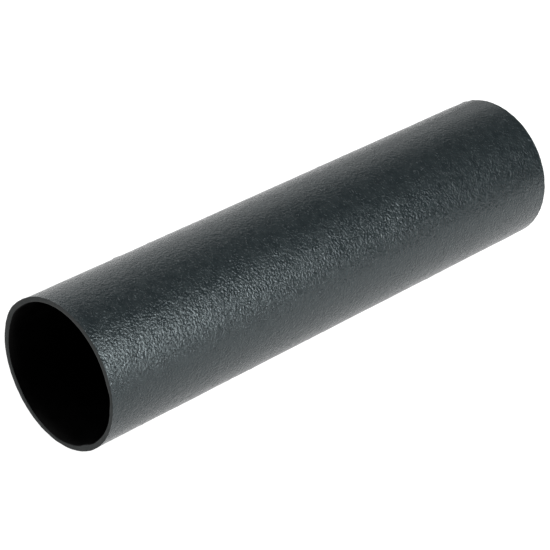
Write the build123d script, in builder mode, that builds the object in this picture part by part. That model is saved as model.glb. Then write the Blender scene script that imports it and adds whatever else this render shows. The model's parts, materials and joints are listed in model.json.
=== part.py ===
# Round downpipe: a short, plain-ended length of extruded rigid plastic rainwater pipe,
# finished black to look like cast iron. It is one piece, sawn square at both ends, and it
# lies on its side.
#
# The origin is on the floor, under the middle of the pipe. +X runs along the pipe and +Z
# is up. Sizes are in millimetres.

import os

from build123d import *

# Driving dimensions
outer_diameter = 68.0  # standard size of round domestic downpipe
wall = 2.3  # thickness of the extruded wall
pipe_length = 271.0  # from one sawn end to the other
outer_arris = 0.15  # radius left on the outer edge of each sawn end
inner_arris = 0.2  # small bevel left on the inner edge of each sawn end

# Worked out from the sizes above
outer_radius = outer_diameter / 2
bore_radius = outer_radius - wall
axis_height = outer_radius  # the pipe rests on its lowest line
first_end = Plane(origin=(-pipe_length / 2, 0, axis_height), z_dir=(1, 0, 0))


def make_pipe():
    """The extruded tube, with both sawn ends eased inside and out."""
    with BuildPart() as downpipe:
        with BuildSketch(first_end):
            Circle(outer_radius)
            Circle(bore_radius, mode=Mode.SUBTRACT)
        extrude(amount=pipe_length)
        # Each sawn end is a flat ring, whose rims are an inner and an outer circle.
        rims = downpipe.faces().filter_by(GeomType.PLANE).edges().sort_by(SortBy.RADIUS)
        fillet(rims[-2:], outer_arris)
        rims = downpipe.faces().filter_by(GeomType.PLANE).edges().sort_by(SortBy.RADIUS)
        chamfer(rims[:2], inner_arris)
    downpipe.part.label = "downpipe"
    return downpipe.part


os.makedirs("parts", exist_ok=True)
export_step(make_pipe(), "parts/downpipe.step")
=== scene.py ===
import json
import math
import random

import bmesh
import bpy
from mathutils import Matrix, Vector, kdtree, noise


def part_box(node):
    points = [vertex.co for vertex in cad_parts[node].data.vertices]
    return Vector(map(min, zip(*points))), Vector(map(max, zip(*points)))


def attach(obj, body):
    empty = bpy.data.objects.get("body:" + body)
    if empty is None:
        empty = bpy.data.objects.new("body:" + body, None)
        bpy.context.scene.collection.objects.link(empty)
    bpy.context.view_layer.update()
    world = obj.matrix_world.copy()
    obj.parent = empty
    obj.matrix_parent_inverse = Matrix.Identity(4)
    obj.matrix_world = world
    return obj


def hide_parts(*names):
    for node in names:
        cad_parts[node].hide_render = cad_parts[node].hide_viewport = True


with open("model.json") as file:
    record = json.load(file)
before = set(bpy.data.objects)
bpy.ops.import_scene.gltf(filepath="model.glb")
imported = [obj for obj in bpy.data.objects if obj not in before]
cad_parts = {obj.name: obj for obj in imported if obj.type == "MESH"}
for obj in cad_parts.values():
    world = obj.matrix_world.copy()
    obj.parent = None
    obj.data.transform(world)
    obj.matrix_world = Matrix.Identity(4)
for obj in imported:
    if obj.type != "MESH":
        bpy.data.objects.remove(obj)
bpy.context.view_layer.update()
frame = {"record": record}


# The pipe wall
# One length of rigid black plastic rainwater pipe, extruded as a plain thin-walled tube and
# sawn off square at both ends. It is spun from its wall section, which is a long thin strip.

mounts = {mount["name"]: mount for mount in frame["record"]["mounts"]}
outer_radius = mounts["spigot_low_x"]["dims"]["r_mm"] / 1000
bore_radius = mounts["bore"]["dims"]["r_mm"] / 1000
wall = outer_radius - bore_radius
axis = Vector(mounts["bore"]["pos_m"])
low_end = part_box("downpipe")[0].x
high_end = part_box("downpipe")[1].x
outer_arris = 0.00015
inner_arris = 0.0002
steps_round = 252
cuts_along_skin = 304
cuts_along_bore = 44
cuts_at_ends = 2


def wall_section(bm):
    """The wall cut through lengthwise at the crown, as a loop of edges with eased corners."""
    corners = [
        bm.verts.new((end, 0, axis.z + radius))
        for end, radius in (
            (low_end, bore_radius),
            (high_end, bore_radius),
            (high_end, outer_radius),
            (low_end, outer_radius),
        )
    ]
    bm.faces.new(corners)
    easing = {"profile": 0.5, "affect": "VERTICES", "material": -1}
    bmesh.ops.bevel(bm, geom=corners[:2], offset=inner_arris, segments=1, **easing)
    bmesh.ops.bevel(bm, geom=corners[2:], offset=outer_arris, segments=3, **easing)
    bmesh.ops.delete(bm, geom=bm.faces[:], context="FACES_ONLY")
    by_length = sorted(bm.edges, key=lambda edge: edge.calc_length())
    bore_line, skin_line = sorted(by_length[-2:], key=lambda edge: edge.verts[0].co.z)
    end_lines = by_length[-4:-2]
    bmesh.ops.subdivide_edges(bm, edges=end_lines, cuts=2)
    bmesh.ops.subdivide_edges(bm, edges=[bore_line], cuts=cuts_along_bore)
    split = bmesh.ops.subdivide_edges(bm, edges=[skin_line], cuts=cuts_along_skin)
    lengths = [item for item in split["geom_split"] if isinstance(item, bmesh.types.BMEdge)]
    lengths.sort(key=lambda edge: edge.verts[0].co.x + edge.verts[1].co.x)
    bmesh.ops.subdivide_edges(bm, edges=[lengths[0], lengths[-1]], cuts=cuts_at_ends)


def from_axis(point):
    """How far a point is from the pipe's axis."""
    return math.hypot(point.y - axis.y, point.z - axis.z)


def on_skin(place, angle):
    """The point of the skin at a place along the pipe and an angle up from the front."""
    return Vector((
        place,
        axis.y - outer_radius * math.cos(angle),
        axis.z + outer_radius * math.sin(angle),
    ))


pipe_bm = bmesh.new()
wall_section(pipe_bm)
bmesh.ops.spin(
    pipe_bm,
    geom=pipe_bm.verts[:] + pipe_bm.edges[:],
    cent=axis,
    axis=(1, 0, 0),
    angle=math.tau,
    steps=steps_round,
    use_merge=True,
)
bmesh.ops.recalc_face_normals(pipe_bm, faces=pipe_bm.faces)

SKIN, CUT, BORE = 0, 1, 2
square_to_axis = 0.9
half_way = (outer_radius + bore_radius) / 2
for face in pipe_bm.faces:
    face.smooth = True
    if abs(face.normal.x) > square_to_axis:
        face.material_index = CUT
    elif from_axis(face.calc_center_median()) > half_way:
        face.material_index = SKIN
    else:
        face.material_index = BORE

# The cast-iron-effect skin: lumpy all over like sand-cast iron, with a few larger nibs. The
# larger relief is in the mesh, and the grain of a millimetre and less is bump.
lump_size = 0.0034
lump_height = 0.00005
swell_size = 0.018
swell_height = 0.00005
swell_offset = Vector((7, 3, 5))
nib_count = 900
nib_reach = 0.0025
nib_widths = (0.0005, 0.0011)
nib_least = 0.00002
nib_most = 0.00018
random.seed(68)

nibs = []
for _ in range(nib_count):
    spot = on_skin(random.uniform(low_end, high_end), random.uniform(0, math.tau))
    nib_width = random.uniform(*nib_widths)
    nib_height = (nib_most - nib_least) * random.random() ** 2 + nib_least
    nibs.append((spot, nib_width, nib_height))

# Nibs that stand out on the pipe's outline near the crown: place along the pipe, height
crown_angle = math.radians(128)
crown_nib_width = 0.001
for place, height in (
    (-0.0855, 0.00034),
    (-0.0660, 0.00022),
    (-0.0555, 0.00012),
    (-0.0465, 0.00011),
    (-0.0315, 0.00011),
    (0.0095, 0.00012),
    (0.0375, 0.00019),
    (0.0540, 0.00011),
    (0.0615, 0.00012),
):
    nibs.append((on_skin(place, crown_angle), crown_nib_width, height))

nib_tree = kdtree.KDTree(len(nibs))
for index, nib in enumerate(nibs):
    nib_tree.insert(nib[0], index)
nib_tree.balance()


def relief(point):
    """How far the skin stands out at a point, in metres."""
    rise = lump_height * noise.noise(point / lump_size)
    rise += swell_height * noise.noise(point / swell_size + swell_offset)
    for spot, index, distance in nib_tree.find_range(point, nib_reach):
        width, height = nibs[index][1:]
        rise += height * math.exp(-((distance / width) ** 2))
    return rise


# The sawn ends: an extruded pipe draws in a little where it is sawn, and the saw leaves a
# burr. The near end has been knocked, and its inner edge is chipped and burred.
draw_in = 0.00018
draw_in_length = 0.015
draw_in_side = 35
burr_height = 0.00016
burr_length = 0.0005
burr_depth = 0.9
burr_rags = 14
burr_evenness = 0.6
knock_length = 0.003
chip_length = 0.0015

# Uneven places round the near end: angle, half width in degrees, and how far the edge moves
# outward in metres
outer_knocks = (
    (150, 17, 0.00085),
    (178, 16, 0.00045),
    (245, 60, 0.00030),
)
inner_knocks = (
    (146, 10, 0.00050),
    (212, 12, -0.00055),
    (230, 6, -0.00030),
    (266, 12, 0.00050),
    (299, 6, -0.00060),
    (342, 18, 0.00055),
    (5, 7, 0.00070),
)


def knock(angle, knocks):
    """How far the uneven places move an edge outward at an angle in degrees."""
    total = 0
    for middle, half_width, amount in knocks:
        away = (angle - middle + 180) % 360 - 180
        total += amount * math.exp(-((away / half_width) ** 2))
    return total


def end_shape(point, outward, depth):
    """How far the sawn ends move a point outward, by its depth in the wall from 0 to 1."""
    from_low = point.x - low_end
    from_end = min(from_low, high_end - point.x)
    if from_end > draw_in_length:
        return 0
    angle = math.degrees(math.atan2(point.z - axis.z, axis.y - point.y))
    side = math.cos(math.radians(angle - draw_in_side)) if from_low == from_end else 1
    move = -draw_in * side * (1 - from_end / draw_in_length) ** 2
    if from_end < burr_length and depth > burr_depth:
        rag = noise.noise(outward * burr_rags + Vector((point.x * 30, 0, 0)))
        move += burr_height * (burr_evenness + rag) * (1 - from_end / burr_length)
    if from_low == from_end:
        outer_fade = math.exp(-((from_low / knock_length) ** 2))
        inner_fade = math.exp(-((from_low / chip_length) ** 2))
        move += knock(angle, outer_knocks) * depth * outer_fade
        move += knock(angle, inner_knocks) * (1 - depth) * inner_fade
    return move


near_bore = 0.05
for vert in pipe_bm.verts:
    reach = from_axis(vert.co)
    outward = (vert.co - axis) * Vector((0, 1, 1)) / reach
    depth = min(max((reach - bore_radius) / wall, 0), 1)
    move = end_shape(vert.co, outward, depth)
    if depth > near_bore:
        move += relief(vert.co) * depth
    vert.co += outward * move

pipe_mesh = bpy.data.meshes.new("downpipe_wall")
pipe_bm.to_mesh(pipe_mesh)
pipe_bm.free()
pipe = bpy.data.objects.new("downpipe_wall", pipe_mesh)
bpy.context.collection.objects.link(pipe)

# The grain of the plastic, which the skin, the saw cuts and the bore all have in their own
# measure: fine pebbles, round grits on top, and slow mottling of the colour and the gloss.
grain = bpy.data.node_groups.new("plastic_grain", "ShaderNodeTree")
for socket_name in (
    "Pebble Size",
    "Pebble Height",
    "Grit Size",
    "Grit Share",
    "Grit Height",
    "Mottle Size",
):
    grain.interface.new_socket(socket_name, in_out="INPUT", socket_type="NodeSocketFloat")
grain.interface.new_socket("Normal", in_out="OUTPUT", socket_type="NodeSocketVector")
grain.interface.new_socket("Mottle", in_out="OUTPUT", socket_type="NodeSocketFloat")
grain_in = grain.nodes.new("NodeGroupInput")
grain_out = grain.nodes.new("NodeGroupOutput")
pipe_place = grain.nodes.new("ShaderNodeTexCoord").outputs["Object"]


def add_math(tree, operation, *values):
    """One sum, each of whose values is a socket or a number."""
    node = tree.nodes.new("ShaderNodeMath")
    node.operation = operation
    for socket, value in zip(node.inputs, values):
        if isinstance(value, (int, float)):
            socket.default_value = value
        else:
            tree.links.new(value, socket)
    return node.outputs[0]


def add_range(tree, value, from_low, from_high, to_low=0, to_high=1):
    """A value carried from one range to another, each end a socket or a number."""
    node = tree.nodes.new("ShaderNodeMapRange")
    names = ("Value", "From Min", "From Max", "To Min", "To Max")
    for name, end in zip(names, (value, from_low, from_high, to_low, to_high)):
        if isinstance(end, (int, float)):
            node.inputs[name].default_value = end
        else:
            tree.links.new(end, node.inputs[name])
    return node.outputs["Result"]


def add_grain_pattern(kind, size_name):
    """A texture of the grain group, with features of the size that an input gives."""
    pattern = grain.nodes.new(kind)
    grain.links.new(pipe_place, pattern.inputs["Vector"])
    grain.links.new(add_math(grain, "DIVIDE", 1, grain_in.outputs[size_name]), pattern.inputs["Scale"])
    return pattern


def add_grain_bump(height, distance_name):
    """A bump of the grain group, as high as an input gives."""
    bump = grain.nodes.new("ShaderNodeBump")
    bump.inputs["Strength"].default_value = 1
    grain.links.new(height, bump.inputs["Height"])
    grain.links.new(grain_in.outputs[distance_name], bump.inputs["Distance"])
    return bump


pebbles = add_grain_pattern("ShaderNodeTexNoise", "Pebble Size")
pebbles.inputs["Detail"].default_value = 2
pebbles.inputs["Roughness"].default_value = 0.6
pebble_bump = add_grain_bump(pebbles.outputs["Fac"], "Pebble Height")

grits = add_grain_pattern("ShaderNodeTexVoronoi", "Grit Size")
grit_radius = 0.34  # as a share of a cell
grit_chance = grain.nodes.new("ShaderNodeSeparateColor")
grain.links.new(grits.outputs["Color"], grit_chance.inputs["Color"])
grit_from = add_math(grain, "SUBTRACT", 1, grain_in.outputs["Grit Share"])
grit_chosen = add_range(grain, grit_chance.outputs["Red"], grit_from, 1)
grit_dome = add_range(grain, grits.outputs["Distance"], 0, grit_radius, 1, 0)
grit_dome.node.interpolation_type = "SMOOTHSTEP"
grit_height = add_math(grain, "MULTIPLY", grit_dome, grit_chosen)
grit_bump = add_grain_bump(grit_height, "Grit Height")
grain.links.new(pebble_bump.outputs["Normal"], grit_bump.inputs["Normal"])
grain.links.new(grit_bump.outputs["Normal"], grain_out.inputs["Normal"])

mottle = add_grain_pattern("ShaderNodeTexNoise", "Mottle Size")
mottle.inputs["Detail"].default_value = 3
mottle_ends = (0.35, 0.65)
mottle_share = add_range(grain, mottle.outputs["Fac"], *mottle_ends)
grain.links.new(mottle_share, grain_out.inputs["Mottle"])


def grained_plastic(name, grain_values, colours, roughness, specular, tint=(1, 1, 1)):
    """A plastic with the grain in its own measure, mottled between two colours and two glosses."""
    material = bpy.data.materials.new(name)
    material.use_nodes = True
    tree = material.node_tree
    shader = tree.nodes["Principled BSDF"]
    shader.inputs["Specular IOR Level"].default_value = specular
    shader.inputs["Specular Tint"].default_value = (*tint, 1)
    group = tree.nodes.new("ShaderNodeGroup")
    group.node_tree = grain
    for socket_name, value in grain_values.items():
        group.inputs[socket_name].default_value = value
    tree.links.new(group.outputs["Normal"], shader.inputs["Normal"])
    mix = tree.nodes.new("ShaderNodeMix")
    mix.data_type = "RGBA"
    for colour_name, colour in zip("AB", colours):
        socket = next(s for s in mix.inputs if s.name == colour_name and s.type == "RGBA")
        socket.default_value = (*colour, 1)
    tree.links.new(group.outputs["Mottle"], mix.inputs["Factor"])
    result = next(s for s in mix.outputs if s.type == "RGBA")
    tree.links.new(result, shader.inputs["Base Color"])
    gloss = add_range(tree, group.outputs["Mottle"], 0, 1, *roughness)
    tree.links.new(gloss, shader.inputs["Roughness"])
    return material


cast_iron_effect_skin = grained_plastic(
    "cast_iron_effect_skin",
    {
        "Pebble Size": 0.0011,
        "Pebble Height": 0.00042,
        "Grit Size": 0.0012,
        "Grit Share": 0.9,
        "Grit Height": 0.0006,
        "Mottle Size": 0.004,
    },
    ((0.013, 0.018, 0.020), (0.019, 0.025, 0.027)),
    (0.17, 0.25),
    0.5,
    (0.87, 1.0, 1.03),
)
sawn_plastic = grained_plastic(
    "sawn_plastic",
    {
        "Pebble Size": 0.0006,
        "Pebble Height": 0.00006,
        "Grit Size": 0.0009,
        "Grit Share": 0.2,
        "Grit Height": 0.00004,
        "Mottle Size": 0.002,
    },
    ((0.015, 0.019, 0.019), (0.024, 0.029, 0.029)),
    (0.55, 0.65),
    0.35,
)
# Painted shade: the bore is the same plastic as the skin, but its colour is made near black and its
# reflection nearly nil, to stand for the shade inside the pipe.
bore_painted_shade = grained_plastic(
    "bore_painted_shade",
    {
        "Pebble Size": 0.0012,
        "Pebble Height": 0.00004,
        "Grit Size": 0.003,
        "Grit Share": 0.1,
        "Grit Height": 0.00002,
        "Mottle Size": 0.006,
    },
    ((0.001, 0.001, 0.001), (0.002, 0.002, 0.002)),
    (0.45, 0.55),
    0.05,
)
for material in (cast_iron_effect_skin, sawn_plastic, bore_painted_shade):
    pipe_mesh.materials.append(material)
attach(pipe, "root")
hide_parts("downpipe")


# The studio
# A white sheet under the pipe in a dim room that grows lighter towards the back, a soft lamp
# overhead, and a tall soft lamp in front that shines along the near end.

def stage_plane(name, corners, material):
    """A flat four-sided piece of the stage, seen from above."""
    plane_bm = bmesh.new()
    plane_bm.faces.new([plane_bm.verts.new(corner) for corner in corners])
    plane_mesh = bpy.data.meshes.new(name)
    plane_bm.to_mesh(plane_mesh)
    plane_bm.free()
    plane_mesh.materials.append(material)
    plane = bpy.data.objects.new(name, plane_mesh)
    bpy.context.collection.objects.link(plane)


def stage_material(name, albedo, camera_glow, glossy_glow):
    """A matt surface that glows for the camera and for mirrored rays, and keeps shadows."""
    material = bpy.data.materials.new(name)
    material.use_nodes = True
    tree = material.node_tree
    shader = tree.nodes["Principled BSDF"]
    shader.inputs["Base Color"].default_value = (albedo, albedo, albedo, 1)
    shader.inputs["Roughness"].default_value = 1
    shader.inputs["Specular IOR Level"].default_value = 0
    shader.inputs["Emission Color"].default_value = (1, 1, 1, 1)
    ray = tree.nodes.new("ShaderNodeLightPath").outputs
    glossy = add_math(tree, "MULTIPLY", ray["Is Glossy Ray"], glossy_glow)
    glow = add_math(tree, "MULTIPLY_ADD", ray["Is Camera Ray"], camera_glow, glossy)
    tree.links.new(glow, shader.inputs["Emission Strength"])
    return material


floor_level = -0.0003
edge_start = Vector((0.149, -0.342, floor_level))
edge_end = Vector((0.233, -0.148, floor_level))
edge_way = (edge_end - edge_start).normalized()
across = Vector((-edge_way.y, edge_way.x, 0))
front_corner = edge_start - edge_way * 2
back_corner = edge_end + edge_way * 3
sheet_width = across * 4
stage_plane(
    "sheet",
    [front_corner, back_corner, back_corner + sheet_width, front_corner + sheet_width],
    stage_material("white_sheet", 0.3, 0.95, 0.80),
)
floor_half = 5
under = floor_level - 0.0005
stage_plane(
    "floor",
    [(x * floor_half, y * floor_half, under) for x, y in ((-1, -1), (1, -1), (1, 1), (-1, 1))],
    stage_material("pale_floor", 0.1, 1.0, 0.1),
)

room_light = 0.05
back_light = 1.05
back_from = 0.3
back_full = 0.8
world = bpy.data.worlds.new("room")
world.use_nodes = True
bpy.context.scene.world = world
tree = world.node_tree
direction = tree.nodes.new("ShaderNodeSeparateXYZ")
tree.links.new(tree.nodes.new("ShaderNodeTexCoord").outputs["Generated"], direction.inputs["Vector"])
level = add_range(tree, direction.outputs["Y"], back_from, back_full, room_light, back_light)
seen = tree.nodes.new("ShaderNodeLightPath").outputs["Is Camera Ray"]
backdrop = tree.nodes["Background"].inputs
tree.links.new(add_range(tree, seen, 0, 1, level, 1), backdrop["Strength"])
backdrop["Color"].default_value = (1, 1, 1, 1)


def soft_lamp(name, place, target, width, height, radiance):
    """A rectangular soft lamp aimed at a point, by how bright it looks."""
    lamp_data = bpy.data.lights.new(name, "AREA")
    lamp_data.shape = "RECTANGLE"
    lamp_data.size = width
    lamp_data.size_y = height
    lamp_data.energy = radiance * math.pi * width * height
    lamp = bpy.data.objects.new(name, lamp_data)
    lamp.location = place
    lamp.rotation_euler = (Vector(target) - Vector(place)).to_track_quat("-Z", "Y").to_euler()
    bpy.context.collection.objects.link(lamp)


soft_lamp("overhead", (-0.5, 0.2, 1.5), (0, 0, 0), 1.2, 1.2, 2.2)
soft_lamp("front", (0.18, -0.963, 0.56), (-0.115, -0.03, 0.2), 0.3, 0.95, 16.5)

camera_data = bpy.data.cameras.new("camera")
camera_data.lens = 150.51
camera_data.sensor_width = 36
camera = bpy.data.objects.new("camera", camera_data)
camera.location = (-0.63708, -0.63387, 0.52877)
camera.rotation_euler = (math.radians(60.85), 0, math.radians(-44.67))
bpy.context.collection.objects.link(camera)
bpy.context.scene.camera = camera
bpy.context.scene.view_settings.view_transform = "Standard"
